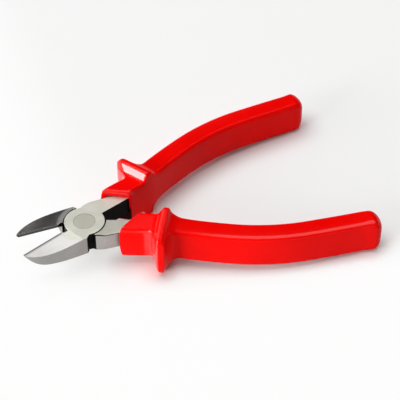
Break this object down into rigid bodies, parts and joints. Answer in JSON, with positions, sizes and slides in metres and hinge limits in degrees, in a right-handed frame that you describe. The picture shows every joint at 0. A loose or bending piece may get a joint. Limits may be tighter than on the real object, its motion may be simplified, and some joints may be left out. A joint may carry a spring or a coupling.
{
  "type": "wire cutter",
  "caption": "Diagonal side cutter: steel halves on a riveted lap joint, bevelled cutting jaws, and moulded handle sleeves with finger guards. The jaws open and shut about the joint.",
  "frame": {"origin": "centre of the rivet's lower end, on the pivot axis, in the plane of the joint's underside", "axes": "+X from the joint to the handle ends, along the middle of the opening; +Y to the back handle; +Z along the pivot axis, up through the joint"},
  "size_m": [0.152, 0.098, 0.0256],
  "materials": {
    "forged_steel": "ground bright on the outer faces, dark in the recesses",
    "rivet_steel": "ground flush",
    "red_vinyl": "semi-gloss moulded vinyl"
  },
  "bodies": {
    "lower": {"lower_half": "forged_steel", "pivot_rivet": "rivet_steel", "front_grip": "red_vinyl"},
    "upper": {"upper_half": "forged_steel", "back_grip": "red_vinyl"}
  },
  "joints": [
    {"name": "jaw_pivot", "type": "hinge", "parent": "lower", "child": "upper", "pos_m": [0, 0, 0.0045], "axis": [0, 0, 1], "range_deg": [-24, 10]}
  ]
}
